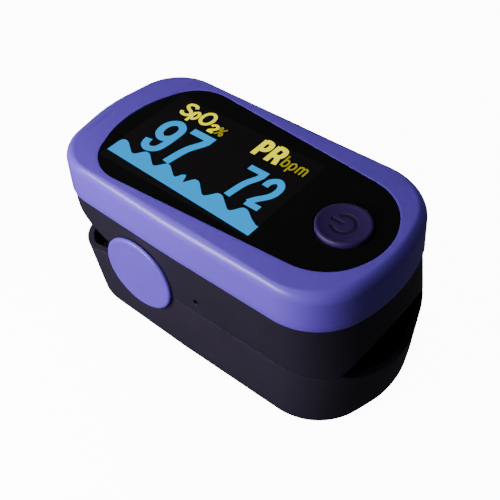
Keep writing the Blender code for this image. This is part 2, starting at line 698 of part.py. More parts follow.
def make_door():
    heights = (0.0, 0.35, 1.1, 2.3)
    door = loft("battery_door", stack(lower_plan, heights, 0.0), DARK)
    centre = box("door_middle", (DOOR_X[0], -DOOR_HALF, -1), (DOOR_X[1], DOOR_HALF, DOOR_THICK))
    wide = DOOR_HALF + DOOR_TONGUE
    tongue = box("door_tongues", (DOOR_X[0], -wide, 0.6), (DOOR_X[1] - 4, wide, 1.05))
    join(centre, tongue)
    boolean(door, centre, "INTERSECT")
    for k in range(5):
        x = -22.5 + 1.8 * k
        cut(door, box(f"thumb_groove_{k + 1}", (x, -5, -1), (x + 0.7, 5, 0.35)))
    return door


def make_lower_screws():
    for number, side in ((1, -1), (2, 1)):
        x, y = FRAME_SCREW[0], side * FRAME_SCREW[1]
        screw = cylinder(f"frame_screw_{number}", (x, y, 4.2), (x, y, 10.5), 0.85, STEEL, 12)
        join(screw, cylinder(f"frame_screw_head_{number}", (x, y, 3.4), (x, y, 4.7), 1.3, segments=12))


# ---------------------------------------------------------------- hinge


def make_hinge():
    crossbar("hinge_shaft", -SHAFT_HALF, SHAFT_HALF, SHAFT_R, STEEL)
    coil_r, turns, per_turn = 2.0, 4, 12
    inner_y, outer_y = 4.2, 9.2
    for side, word in ((-1, "left"), (1, "right")):
        leg_low = [(HINGE_X + x, side * inner_y, HINGE_Z + z) for x, z in ((-9.4, 3.1), (-5.0, 3.0))]
        coil = []
        for k in range(turns * per_turn + 1):
            share = k / (turns * per_turn)
            angle = math.radians(90) - 2 * math.pi * k / per_turn
            y = side * (inner_y + (outer_y - inner_y) * share)
            coil.append((HINGE_X + coil_r * math.cos(angle), y, HINGE_Z + coil_r * math.sin(angle)))
        leg_high = [(HINGE_X + x, side * outer_y, HINGE_Z + z) for x, z in ((-4.8, 4.0), (-9.4, 6.5))]
        wire(f"torsion_spring_{word}", leg_low + coil + leg_high, 0.35, STEEL)


def make_flex():
    path = [(-7.4, 25.5), (-11.8, 25.5), (-13.0, 25.1), (-13.6, 24.2), (-13.8, 22.5), (-13.75, 12.0)]
    path += [(-13.55, 10.3), (-12.7, 9.0), (-11.4, 8.5), (-9.4, 8.4), (1.0, 8.4)]
    ribbon("flex_cable", path, 0.2, 2.4, AMBER)


# ---------------------------------------------------------------- assembly


def put_on_pivot(name, place, pieces):
    """An empty on the joint's axis, with the pieces that move with it parented to it."""
    pivot = bpy.data.objects.new(name, None)
    pivot.location = Vector(place) * MM
    pivot.empty_display_size = 5 * MM
    PARTS.objects.link(pivot)
    for piece in pieces:
        piece.parent = pivot
        piece.matrix_parent_inverse = Matrix.Translation(pivot.location).inverted()
    return pivot


def make_oximeter():
    make_lower_shell()
    make_lower_frame()
    make_lower_pad()
    make_sensor()
    make_cells()
    make_contacts()
    door = make_door()
    make_lower_screws()
    make_hinge()
    make_flex()
    fixed = set(PARTS.objects)
    make_top_cover()
    make_window()
    pressed = make_button()
    make_display()
    make_board()
    make_upper_body()
    make_upper_pad()
    make_emitter()
    make_discs()
    upper = [obj for obj in PARTS.objects if obj not in fixed and obj not in pressed]
    hinge = put_on_pivot("upper_jaw_pivot", (HINGE_X, 0, HINGE_Z), upper)
    push = put_on_pivot("power_button_slide", (BUTTON_X, 0, TOP_Z), pressed)
    push.parent = hinge
    push.matrix_parent_inverse = Matrix.Translation(hinge.location).inverted()
    put_on_pivot("battery_door_slide", (0, 0, 0), [door])
    for obj in (*PARTS.objects, *CUTTERS.objects):
        if obj.parent is None:
            obj.location.x -= CENTRE_X * MM


for old in list(bpy.data.objects):
    bpy.data.objects.remove(old, do_unlink=True)
PARTS = new_collection("fingertip_pulse_oximeter")
CUTTERS = new_collection("cutters")

VIOLET = make_material("violet_plastic", (0.16, 0.14, 0.56), 0.38)
BUTTON_VIOLET = make_material("dark_violet_plastic", (0.05, 0.04, 0.2), 0.45)
DARK = make_material("dark_plastic", (0.022, 0.02, 0.028), 0.5)
DARK_INNER = make_material("dark_inner_plastic", (0.012, 0.011, 0.014), 0.55)
BLACK = make_material("black_plastic", (0.01, 0.01, 0.01), 0.55)
GLOSS_BLACK = make_material("gloss_black_acrylic", (0.004, 0.004, 0.004), 0.08)
RUBBER = make_material("black_rubber", (0.008, 0.008, 0.008), 0.8)
PANEL = make_material("display_glass", (0.01, 0.012, 0.014), 0.15)
CLEAR = make_material("clear_resin", (0.5, 0.12, 0.1), 0.15)
BOARD_GREEN = make_material("circuit_board", (0.02, 0.16, 0.06), 0.5)
CHIP = make_material("chip_resin", (0.015, 0.015, 0.016), 0.6)
STEEL = make_material("plated_steel", (0.6, 0.6, 0.62), 0.3, 1.0)
AMBER = make_material("amber_flex", (0.55, 0.27, 0.05), 0.4)
WHITE = make_material("white_nylon", (0.75, 0.75, 0.72), 0.5)
CELL = make_material("battery_sleeve", (0.08, 0.2, 0.42), 0.35)

make_oximeter()
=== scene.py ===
"""Fingertip pulse oximeter: fine surfaces, display content, looks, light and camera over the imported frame.

Sizes are in millimetres, and the helpers turn them into metres. +X points out of the finger opening. Plans
are drawn from the middle of the display side, and the frame's origin lies at CENTRE_X in them.
"""

import json
import math

import bmesh
import bpy
from mathutils import Matrix, Vector


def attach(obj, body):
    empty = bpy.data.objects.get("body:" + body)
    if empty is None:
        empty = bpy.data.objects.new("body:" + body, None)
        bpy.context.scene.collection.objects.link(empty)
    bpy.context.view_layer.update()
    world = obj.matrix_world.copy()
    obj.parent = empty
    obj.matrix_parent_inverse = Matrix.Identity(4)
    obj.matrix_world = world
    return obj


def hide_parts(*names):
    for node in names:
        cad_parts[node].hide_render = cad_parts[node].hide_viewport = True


MM = 0.001
CENTRE_X = 1.1

# Levels, as in the CAD model.
SEAM_Z = 14.5
COVER_BOTTOM_Z = 25.5
TOP_Z = 33.0
GLASS_Z = 32.95

# Plan outlines, as in the CAD model: corners (x, y, fillet radius) from the rear centre to the front centre.
BODY_PLAN = (
    (-31.4, 0.0, 28.0),
    (-28.9, 15.85, 8.8),
    (-1.65, 16.6, 120.0),
    (27.65, 16.6, 11.0),
    (31.75, 0.0, 34.0),
)
WINDOW_PLAN = (
    (-26.5, 0.0, 36.0),
    (-21.0, 14.5, 8.0),
    (24.35, 11.0, 10.0),
    (29.75, 0.0, 12.4),
)
LOWER_PLAN = (
    (-31.65, 0.0, 60.0),
    (-29.65, 16.0, 7.1),
    (-1.65, 16.6, 120.0),
    (29.7, 16.6, 11.9),
    (34.9, 0.0, 19.0),
)

# Corners past this X, either way, move with the front or the rear end.
END_X = 10.0

# How the upper jaw's front and its nose grow forward for each millimetre down, with more below the cover.
FRONT_FLARE = 0.05
LOW_FRONT_FLARE = 0.055
NOSE = 0.3
NOSE_FLARE = 0.03
LOW_NOSE_FLARE = 0.055

# Upper casing: its step in from the cover, its wall, and the round undercut of its rear.
COVER_WALL = 1.5
DARK_STEP = 0.35
UPPER_WALL = 1.7
UNDERCUT_Z = 22.8
UNDERCUT_ROUND = 4.0

# Lower casing: its step in from the plan, its walls, and how its ends draw in towards the bottom.
LOWER_STEP = 0.5
LOWER_WALL = 1.2
LOWER_FLOOR = 1.6
FRONT_DRAFT = 0.9
REAR_DRAFT = 4.0
REAR_STEP = 1.3
BOTTOM_ROUND = 3.0

# Hinge axis and the discs over its ends.
HINGE_X = -9.65
HINGE_Z = 15.85
SHAFT_R = 1.2
DISC_R = 7.4
DISC_FACE_Y = 16.95
DISC_BACK_Y = 16.32
DISC_RECESS_R = 6.9

# The finger opening: half its width, its rise and dip from the seam, and the tilt of the lower jaw's mouth.
EYE_HALF = 12.3
EYE_RISE = 5.4
EYE_DIP = 3.8
CHANNEL_END_X = -4.0
MOUTH_X = 33.6
MOUTH_TILT = math.radians(12.5)

# Button, and the opening and grooves of the battery door.
BUTTON_X = 20.55
BUTTON_R = 4.6
DOOR_FRONT_X = 19.5
DOOR_HALF = 11.3
DOOR_TONGUE = 0.8
DOOR_GAP = 0.2

# Features inside the casings, as in the CAD model.
UPPER_EAR_Y = (12.6, 14.9)
PAD_FRONT_X = 28.0
PAD_THICK = 1.0
PAD_GAP = 0.2
OPTIC_X = 4.5
OPTIC_R = 2.6
SCREW_PLACES = ((20.5, 10.4), (20.5, -10.4), (-19.5, 10.4), (-19.5, -10.4))
BOARD_BOTTOM_Z = 26.0
RIB_X = (-20.7, -18.3)
FRAME_SCREW = (26.6, 2.8)
FRAME_POST_R = 1.9

# Camera: where it stands, its azimuth, elevation and roll in degrees, and its focal length.
CAMERA_AT = (70.45, -80.1, 125.3)
CAMERA_TURN = (40.715, 46.119, -1.79)
CAMERA_LENS = 61.98


# ---------------------------------------------------------------- shapes


def mesh_object(name, bm, material, smooth=35.0):
    """A shown piece from a bmesh in millimetres."""
    bmesh.ops.recalc_face_normals(bm, faces=bm.faces)
    if bm.calc_volume(signed=True) < 0:
        bmesh.ops.reverse_faces(bm, faces=bm.faces)
    for vertex in bm.verts:
        vertex.co = (vertex.co - Vector((CENTRE_X, 0, 0))) * MM
    mesh = bpy.data.meshes.new(name)
    bm.to_mesh(mesh)
    bm.free()
    if material:
        mesh.materials.append(material)
    mesh.shade_smooth()
    mesh.set_sharp_from_angle(angle=math.radians(smooth))
    obj = bpy.data.objects.new(name, mesh)
    bpy.context.scene.collection.objects.link(obj)
    return obj


def fillet(before, corner, after, radius, steps):
    """Points of the arc that rounds a corner, held back where the sides are too short for the radius."""
    into, away = (before - corner).normalized(), (after - corner).normalized()
    half = into.angle(away) / 2
    reach = min(radius / math.tan(half), 0.499 * min((before - corner).length, (after - corner).length))
    arc_radius = reach * math.tan(half)
    centre = corner + (into + away).normalized() * (arc_radius / math.sin(half))
    first, last = corner + into * reach - centre, corner + away * reach - centre
    sweep = first.angle_signed(last)
    return [centre + Matrix.Rotation(-sweep * k / steps, 2) @ first for k in range(steps + 1)]


def outline(corners, steps=16):
    """A closed outline that is symmetric about Y = 0, as 2D points."""
    full = list(corners) + [(x, -y, r) for x, y, r in corners[-2:0:-1]]
    places = [Vector((x, y)) for x, y, _ in full]
    points = []
    for k, place in enumerate(places):
        after = places[(k + 1) % len(places)]
        points += fillet(places[k - 1], place, after, full[k][2], steps)
    return points


def inset(points, distance):
    """The outline moved inwards, or outwards where the distance is negative."""
    moved = []
    for k, point in enumerate(points):
        along = (points[(k + 1) % len(points)] - points[k - 1]).normalized()
        moved.append(point + Vector((along.y, -along.x)) * distance)
    return moved


def moved_plan(corners, front=0.0, rear=0.0, nose=0.0):
    """A plan with its front and rear ends moved along X, and its foremost corner moved further."""
    moved = [(x + (front if x > END_X else rear if x < -END_X else 0.0), y, r) for x, y, r in corners]
    x, y, r = moved[-1]
    return moved[:-1] + [(x + nose, y, r)]


def flared_plan(z, rear=0.0):
    """The upper jaw's outline at a height."""
    drop, low = TOP_Z - z, max(COVER_BOTTOM_Z - z, 0.0)
    front = FRONT_FLARE * drop + LOW_FRONT_FLARE * low
    nose = NOSE + NOSE_FLARE * drop + LOW_NOSE_FLARE * low
    return outline(moved_plan(BODY_PLAN, front, rear, nose))


def dense(points, longest=0.9):
    """The outline with its long runs divided, always into the same number of points."""
    base = outline(BODY_PLAN)
    filled = []
    for k, point in enumerate(points):
        after = points[(k + 1) % len(points)]
        parts = max(1, math.ceil((base[(k + 1) % len(base)] - base[k]).length / longest))
        filled += [point.lerp(after, j / parts) for j in range(parts)]
    return filled


def upper_plan(z, depth):
    """The upper jaw's outline at a height, some depth inside its surface."""
    return inset(flared_plan(z), depth)


def undercut_plan(z, depth):
    """The same with the rear rounded away below UNDERCUT_Z."""
    drop = min(max(UNDERCUT_Z - z, 0.0), UNDERCUT_ROUND)
    shift = UNDERCUT_ROUND - math.sqrt(UNDERCUT_ROUND**2 - drop**2)
    return inset(flared_plan(z, shift), depth)


def lower_plan(z, depth):
    """The lower jaw's outline at a height, some depth inside its surface, with the bottom edge rounded."""
    share = (SEAM_Z - z) / SEAM_Z
    rear = REAR_STEP + REAR_DRAFT * share
    low = max(BOTTOM_ROUND - z, 0.0)
    rounding = BOTTOM_ROUND - math.sqrt(BOTTOM_ROUND**2 - low**2)
    return inset(outline(moved_plan(LOWER_PLAN, -FRONT_DRAFT * share, rear)), depth + LOWER_STEP + rounding)


def loft(name, sections, material=None, closed=False, smooth=35.0):
    """Rings of equal length joined in order: capped at both ends, or joined round into a closed band."""
    bm = bmesh.new()
    rings = [[bm.verts.new(place) for place in ring] for ring in sections]
    pairs = list(zip(rings, rings[1:]))
    if closed:
        pairs.append((rings[-1], rings[0]))
    for lower, upper in pairs:
        for k in range(len(lower)):
            after = (k + 1) % len(lower)
            bm.faces.new((lower[k], lower[after], upper[after], upper[k]))
    if not closed:
        bm.faces.new(rings[0])
        bm.faces.new(rings[-1])
    return mesh_object(name, bm, material, smooth)


def at_height(points, z):
    """2D points as a level ring."""
    return [(p.x, p.y, z) for p in points]


def body_loft(name, plan, levels, material=None):
    """A casing from a plan function and (height, depth) levels."""
    return loft(name, [at_height(dense(plan(z, depth)), z) for z, depth in levels], material)


def prism(name, points, axis, low, high, slices=1):
    """A flat outline pushed along an axis: (x, y) for Z, (x, z) for Y and (y, z) for X."""
    rings = []
    for k in range(slices + 1):
        w = low + (high - low) * k / slices
        rings.append([{"Z": (u, v, w), "Y": (u, w, v), "X": (w, u, v)}[axis] for u, v in points])
    return loft(name, rings)


def rod(name, start, end, radius, segments=64):
    """A round tool between two points."""
    start, end = Vector(start), Vector(end)
    bm = bmesh.new()
    depth = (end - start).length
    bmesh.ops.create_cone(bm, cap_ends=True, segments=segments, radius1=radius, radius2=radius, depth=depth)
    turn = Vector((0, 0, 1)).rotation_difference(end - start).to_matrix().to_4x4()
    bmesh.ops.transform(bm, matrix=Matrix.Translation((start + end) / 2) @ turn, verts=bm.verts)
    return mesh_object(name, bm, None)


def revolve(name, profile, centre, axis, material, steps=128, smooth=30.0):
    """A round piece from (radius, height) points along an axis, closed on the axis at both ends."""
    bm = bmesh.new()
    along = Vector(axis)
    side = along.orthogonal().normalized()
    across = along.cross(side)
    rings = []
    for radius, height in profile[1:-1]:
        ring = []
        for k in range(steps):
            angle = 2 * math.pi * k / steps
            out = (side * math.cos(angle) + across * math.sin(angle)) * radius
            ring.append(bm.verts.new(Vector(centre) + out + along * height))
        rings.append(ring)
    ends = [bm.verts.new(Vector(centre) + along * h) for _, h in (profile[0], profile[-1])]
    for lower, upper in zip(rings, rings[1:]):
        for k in range(steps):
            after = (k + 1) % steps
            bm.faces.new((lower[k], lower[after], upper[after], upper[k]))
    for end, ring in zip(ends, (rings[0], rings[-1])):
        for k in range(steps):
            bm.faces.new((end, ring[k], ring[(k + 1) % steps]))
    return mesh_object(name, bm, material, smooth)


def combine(obj, operation, others):
    """The others taken out of the object or joined to it for good."""
    for other in others:
        modifier = obj.modifiers.new("Combine", "BOOLEAN")
        modifier.operation = operation
        modifier.solver = "MANIFOLD"
        modifier.object = other
        bpy.context.view_layer.update()
        whole = obj.evaluated_get(bpy.context.evaluated_depsgraph_get())
        mesh = bpy.data.meshes.new_from_object(whole)
        obj.modifiers.clear()
        old, obj.data = obj.data, mesh
        bpy.data.meshes.remove(old)
        bpy.data.objects.remove(other)
    obj.data.shade_smooth()
    obj.data.set_sharp_from_angle(angle=math.radians(28))


def carve(obj, *cutters):
    """Takes the cutters out of the object."""
    combine(obj, "DIFFERENCE", cutters)


def weld(obj, *pieces):
    """Joins the pieces to the object."""
    combine(obj, "UNION", pieces)


def block(name, low, high):
    """A rectangular tool between two corners."""
    (x0, y0, z0), (x1, y1, z1) = low, high
    return prism(name, [(x0, y0), (x1, y0), (x1, y1), (x0, y1)], "Z", z0, z1)


def crossbar(name, start_y, end_y, radius):
    """A rod across the body on the hinge's axis."""
    return rod(name, (HINGE_X, start_y, HINGE_Z), (HINGE_X, end_y, HINGE_Z), radius)


def arc_points(half, sagitta, edge_z, up, steps=48):
    """A shallow arc over the width of the finger opening, as (y, z), with its ends on edge_z."""
    radius = (half * half + sagitta * sagitta) / (2 * sagitta)
    span = math.asin(half / radius)
    sign = 1 if up else -1
    centre_z = edge_z + sign * (sagitta - radius)
    angles = [span * (2 * k / steps - 1) for k in range(steps + 1)]
    return [(radius * math.sin(a), centre_z + sign * radius * math.cos(a)) for a in angles]


def smooth_path(points, steps=10, closed=False):
    """Points of a Catmull-Rom curve through the given 2D points."""
    spots = [Vector(p) for p in points]
    count = len(spots)
    path = []
    for k in range(count if closed else count - 1):
        if closed:
            a, b, c, d = (spots[(k + j) % count] for j in (-1, 0, 1, 2))
        else:
            a, b, c, d = (spots[min(max(k + j, 0), count - 1)] for j in (-1, 0, 1, 2))
        for j in range(steps):
            t = j / steps
            square, cube = 2 * a - 5 * b + 4 * c - d, 3 * b - a - 3 * c + d
            path.append(0.5 * (2 * b + (c - a) * t + square * t * t + cube * t**3))
    return path if closed else path + [spots[-1]]


# ---------------------------------------------------------------- materials


# Sizes of the colour clouds and gloss patches in every material, and the height of the moulded grain.
CLOUD_SIZE = 9.0
GLOSS_SIZE = 3.0
GRAIN_HEIGHT = 0.02


def make_material(
    name, colour, roughness, metallic=0.0, grain=0.0, grain_size=0.3, mottle=0.06, wear=0.0, **extra
):
    """Plastic, rubber or metal with fine colour variation and uneven gloss.

    grain is the strength of the moulded grain, and wear the width of its rounded edges in millimetres.
    """
    made = bpy.data.materials.new(name)
    made.use_nodes = True
    tree = made.node_tree
    shader = tree.nodes["Principled BSDF"]
    shader.inputs["Metallic"].default_value = metallic
    for socket, value in extra.items():
        shader.inputs[socket.replace("_", " ")].default_value = value
    place = tree.nodes.new("ShaderNodeTexCoord")

    def noise(size_mm, detail):
        node = tree.nodes.new("ShaderNodeTexNoise")
        node.inputs["Scale"].default_value = 1.0 / (size_mm * MM)
        node.inputs["Detail"].default_value = detail
        tree.links.new(place.outputs["Object"], node.inputs["Vector"])
        return node

    cloud = noise(CLOUD_SIZE, 3.0)
    ramp = tree.nodes.new("ShaderNodeValToRGB")
    ramp.color_ramp.elements[0].position = 0.3
    ramp.color_ramp.elements[1].position = 0.7
    ramp.color_ramp.elements[0].color = (*[c * (1 - mottle) for c in colour], 1)
    ramp.color_ramp.elements[1].color = (*[min(1, c * (1 + mottle)) for c in colour], 1)
    tree.links.new(cloud.outputs["Fac"], ramp.inputs["Fac"])
    tree.links.new(ramp.outputs["Color"], shader.inputs["Base Color"])

    gloss = noise(GLOSS_SIZE, 4.0)
    spread = tree.nodes.new("ShaderNodeMapRange")
    spread.inputs["To Min"].default_value = roughness * 0.9
    spread.inputs["To Max"].default_value = roughness * 1.12
    tree.links.new(gloss.outputs["Fac"], spread.inputs["Value"])
    tree.links.new(spread.outputs["Result"], shader.inputs["Roughness"])

    if grain:
        fine = noise(grain_size, 2.0)
        bump = tree.nodes.new("ShaderNodeBump")
        bump.inputs["Strength"].default_value = grain
        bump.inputs["Distance"].default_value = GRAIN_HEIGHT * MM
        tree.links.new(fine.outputs["Fac"], bump.inputs["Height"])
        tree.links.new(bump.outputs["Normal"], shader.inputs["Normal"])
    if wear:
        edge = tree.nodes.new("ShaderNodeBevel")
        edge.inputs["Radius"].default_value = wear * MM
        edge.samples = 6
        tree.links.new(edge.outputs["Normal"], bump.inputs["Normal"])
    return made


def make_lit(name, colour, strength):
    """Display content that shines through the window, under the window's gloss."""
    made = make_material(name, [c * 0.02 for c in colour], 0.3, mottle=0.02, Specular_IOR_Level=0.05)
    shader = made.node_tree.nodes["Principled BSDF"]
    shader.inputs["Emission Color"].default_value = (*colour, 1)
    shader.inputs["Emission Strength"].default_value = strength
    return made


VIOLET = make_material("violet", (0.165, 0.088, 0.7), 0.33, grain=0.03, grain_size=1.2, mottle=0.03)
BUTTON_VIOLET = make_material("button_violet", (0.032, 0.011, 0.1), 0.5, grain=0.06, grain_size=0.5)
ENGRAVED = make_material("engraved_violet", (0.009, 0.004, 0.04), 0.6, grain=0.1)
CASING_GRAIN = {"grain": 0.3, "grain_size": 0.25}
DARK = make_material("dark_casing", (0.022, 0.016, 0.034), 0.5, wear=0.25, **CASING_GRAIN)
DARK_UPPER = make_material("dark_upper_casing", (0.016, 0.012, 0.026), 0.5, wear=0.25, **CASING_GRAIN)
DARK_INNER = make_material(
    "dark_frame", (0.004, 0.0035, 0.005), 0.6, wear=0.3, Specular_IOR_Level=0.2, **CASING_GRAIN
)
BLACK = make_material("black_moulding", (0.01, 0.01, 0.011), 0.5, grain=0.2)
GLASS = make_material("smoked_window", (0.0022, 0.0024, 0.002), 0.07, mottle=0.1)
SCREEN = make_material("screen_area", (0.0075, 0.006, 0.0065), 0.09, mottle=0.03)
INK = make_material("screen_black", (0.0015, 0.0015, 0.0015), 0.09)
RUBBER = make_material("finger_rubber", (0.006, 0.006, 0.006), 0.75, grain=0.5, grain_size=0.4)
PANEL = make_material("panel_glass", (0.01, 0.012, 0.014), 0.15)
CLEAR = make_material("red_resin", (0.32, 0.035, 0.025), 0.12, mottle=0.1, Coat_Weight=0.5)
BOARD = make_material("solder_mask", (0.015, 0.13, 0.045), 0.38, grain=0.2, grain_size=0.6, mottle=0.15)
CHIP = make_material("chip_body", (0.012, 0.012, 0.013), 0.55, grain=0.35, grain_size=0.15)
STEEL = make_material("nickel_steel", (0.55, 0.54, 0.52), 0.27, metallic=1.0, grain=0.1, mottle=0.1)
AMBER = make_material("polyimide", (0.5, 0.22, 0.04), 0.32, mottle=0.12)
WHITE = make_material("natural_nylon", (0.72, 0.7, 0.64), 0.45, grain=0.15, mottle=0.03)
CELL = make_material("cell_sleeve", (0.05, 0.13, 0.33), 0.28, mottle=0.04, Coat_Weight=0.4)
CYAN = make_lit("screen_cyan", (0.0, 0.4, 0.95), 1.0)
YELLOW = make_lit("screen_yellow", (1.0, 0.92, 0.0), 1.25)
DIM_YELLOW = make_lit("screen_dim_yellow", (0.36, 0.32, 0.02), 1.0)

SLOT_LOOKS = {
    "violet_plastic": VIOLET,
    "dark_violet_plastic": BUTTON_VIOLET,
    "dark_plastic": DARK,
    "dark_inner_plastic": DARK_INNER,
    "black_plastic": BLACK,
    "gloss_black_acrylic": GLASS,
    "black_rubber": RUBBER,
    "display_glass": PANEL,
    "clear_resin": CLEAR,
    "circuit_board": BOARD,
    "chip_resin": CHIP,
    "plated_steel": STEEL,
    "amber_flex": AMBER,
    "white_nylon": WHITE,
    "battery_sleeve": CELL,
}


def dress_nodes(frame):
    """Every CAD node gets the fine material of its slot."""
    for entry in frame["record"]["subparts"]:
        obj = frame["nodes"][entry["node"]]
        obj.data.materials.clear()
        obj.data.materials.append(SLOT_LOOKS[entry["material_slot"]])


def settle(piece, body, slot, *nodes):
    """Ties a piece to its body and hides the CAD nodes it stands for; the slot is not used."""
    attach(piece, body)
    if nodes:
        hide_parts(*nodes)


# ---------------------------------------------------------------- cover and window

# Slack for a ray that meets an outline at one of its points.
SNAP = 1e-4

# Rays closer than this, in radians, count as one.
RAY_GAP = 0.002

# The faint moulded crescent on the rear of the ring: a raised line with a sunk one beside it.
CREASE_START = (-28.6, -9.5)
CREASE_END = (-28.9, -1.0)
CREASE_BOW = -0.4
CREASE_HEIGHT = 0.09
CREASE_WIDTH = 0.35

# The ring's rounded outer edge, its flat top, its lip at the window, and the step under the window.
EDGE_WIDE = 1.7
EDGE_HIGH = 1.9
EDGE_STEPS = 14
FLAT_STEPS = 14
LIP_WIDE = 0.3
STEP_WIDE = 1.5
STEP_DROP = 1.5
RING_THICK = 2.2
FOOT_ROUND = 0.18

# The window's slack in the ring, its underside, and the button's clearance in it.
WINDOW_GAP = 0.12
WINDOW_BACK_Z = 31.9
BUTTON_GAP = 0.25


def ray_hit(points, origin, direction):
    """How far a ray from the origin runs to a convex outline."""
    best = 0.0
    for k, point in enumerate(points):
        edge = points[(k + 1) % len(points)] - point
        base = direction.x * edge.y - direction.y * edge.x
        if abs(base) < 1e-12:
            continue
        gap = point - origin
        reach = (gap.x * edge.y - gap.y * edge.x) / base
        share = (gap.x * direction.y - gap.y * direction.x) / base
        if reach > 0 and -SNAP <= share <= 1 + SNAP:
            best = max(best, reach)
    return best


def directions(origin, *outlines):
    """Unit directions from the origin to the points of the outlines, in order round it."""
    angles = sorted(math.atan2(p.y - origin.y, p.x - origin.x) for points in outlines for p in points)
    kept = [angles[0]]
    for angle in angles[1:]:
        if angle - kept[-1] > RAY_GAP:
            kept.append(angle)
    return [Vector((math.cos(a), math.sin(a))) for a in kept]


def ridge(x, y):
    """The crescent's height at a point of the ring's top."""
    start, end = Vector(CREASE_START), Vector(CREASE_END)
    along = (end - start).normalized()
    offset = Vector((x, y)) - start
    share = offset.dot(along) / (end - start).length
    if not 0 < share < 1:
        return 0.0
    bow = CREASE_BOW * 4 * share * (1 - share)
    across = offset.dot(Vector((-along.y, along.x))) - bow
    fade = math.sin(math.pi * share) ** 0.7
    raised = math.exp(-((across / CREASE_WIDTH) ** 2))
    sunk = math.exp(-(((across + 2 * CREASE_WIDTH) / CREASE_WIDTH) ** 2))
    return CREASE_HEIGHT * fade * (raised - sunk)


def make_cover():
    """The ring and wall as one closed band of sections, from the inside of the foot out, up and over."""
    centre = Vector((0.0, 0.0))
    top, bottom = upper_plan(TOP_Z, 0.0), upper_plan(COVER_BOTTOM_Z, 0.0)
    window = outline(WINDOW_PLAN, 20)
    rays = directions(centre, dense(top, 0.5), window)

    def reaches(points, grow=0.0):
        return [ray_hit(points, centre, ray) + grow for ray in rays]

    def ring(distances, z):
        return [(ray.x * reach, ray.y * reach, z) for ray, reach in zip(rays, distances)]

    wall_start, wall_end = COVER_BOTTOM_Z + FOOT_ROUND, TOP_Z - EDGE_HIGH
    rings = [
        ring(reaches(inset(bottom, COVER_WALL)), COVER_BOTTOM_Z),
        ring(reaches(inset(bottom, FOOT_ROUND)), COVER_BOTTOM_Z),
        ring(reaches(inset(bottom, 0.05)), COVER_BOTTOM_Z + 0.05),
        ring(reaches(bottom), wall_start),
    ]
    for k in range(1, 5):
        z = wall_start + (wall_end - wall_start) * k / 4
        rings.append(ring(reaches(upper_plan(z, 0.0)), z))

    low, outer, lip = reaches(upper_plan(wall_end, 0.0)), reaches(top), reaches(window, LIP_WIDE)
    round_wide = [min(EDGE_WIDE, far - near) for far, near in zip(outer, lip)]
    for k in range(1, EDGE_STEPS + 1):
        turn = math.pi / 2 * k / EDGE_STEPS
        rise, share = math.sin(turn), 1 - math.cos(turn)
        places = [a + (b - a) * rise - wide * share for a, b, wide in zip(low, outer, round_wide)]
        rings.append(ring(places, TOP_Z - EDGE_HIGH * (1 - rise)))

    edge = [far - wide for far, wide in zip(outer, round_wide)]
    for k in range(1, FLAT_STEPS + 1):
        level = ring([a + (b - a) * k / FLAT_STEPS for a, b in zip(edge, lip)], TOP_Z)
        if k < FLAT_STEPS:
            level = [(x, y, z + ridge(x, y)) for x, y, z in level]
        rings.append(level)

    inner = reaches(inset(window, STEP_WIDE))
    rings += [
        ring(reaches(window, 0.05), TOP_Z - 0.03),
        ring(reaches(window, 0.01), TOP_Z - 0.2),
        ring(reaches(window), TOP_Z - STEP_DROP),
        ring(inner, TOP_Z - STEP_DROP - 0.1),
        ring(inner, TOP_Z - RING_THICK),
        ring(reaches(inset(upper_plan(TOP_Z - RING_THICK, 0.0), COVER_WALL)), TOP_Z - RING_THICK),
    ]
    cover = loft("cover_shell", rings, VIOLET, closed=True, smooth=50)
    settle(cover, "upper_jaw", "violet_plastic", "top_cover")


def make_window():
    """The glossy sheet with a round hole for the button, as a closed band round the hole."""
    centre = Vector((BUTTON_X, 0.0))
    plan = inset(outline(WINDOW_PLAN, 20), WINDOW_GAP)
    hole = [centre + Vector((math.cos(a / 10), math.sin(a / 10))) for a in range(63)]
    rays = directions(centre, plan, hole)
    outer = [ray_hit(plan, centre, ray) for ray in rays]

    def ring(distances, z):
        return [(*(centre + ray * reach), z) for ray, reach in zip(rays, distances)]

    rings = [ring(outer, WINDOW_BACK_Z), ring(outer, GLASS_Z)]
    for grow, z in ((0.15, GLASS_Z), (0.03, GLASS_Z - 0.05), (0.0, GLASS_Z - 0.2), (0.0, WINDOW_BACK_Z)):
        rings.append(ring([BUTTON_R + BUTTON_GAP + grow] * len(rays), z))
    window = loft("window_glass", rings, GLASS, closed=True, smooth=20)
    settle(window, "upper_jaw", "gloss_black_acrylic", "display_window")


# ---------------------------------------------------------------- display content

# Levels of the lit area, the dark edge round the signs, and the signs, all thin plates.
AREA_Z = GLASS_Z + 0.015
INK_Z = GLASS_Z + 0.03
SIGN_Z = GLASS_Z + 0.045
PLATE = 0.012
INK_EDGE = 0.3
SCREEN_LOW = (-21.65, -11.2)
SCREEN_HIGH = (10.45, 9.6)


def plate(name, points, z, material):
    """A thin flat sign from a closed outline."""
    bm = bmesh.new()
    bottom = [bm.verts.new((x, y, z - PLATE)) for x, y in points]
    face = bm.faces.new(bottom)
    top = bmesh.ops.extrude_face_region(bm, geom=[face])["geom"]
    raised = [v for v in top if isinstance(v, bmesh.types.BMVert)]
    bmesh.ops.translate(bm, vec=(0, 0, PLATE), verts=raised)
    bmesh.ops.triangulate(bm, faces=[f for f in bm.faces if len(f.verts) > 4])
    return mesh_object(name, bm, material)


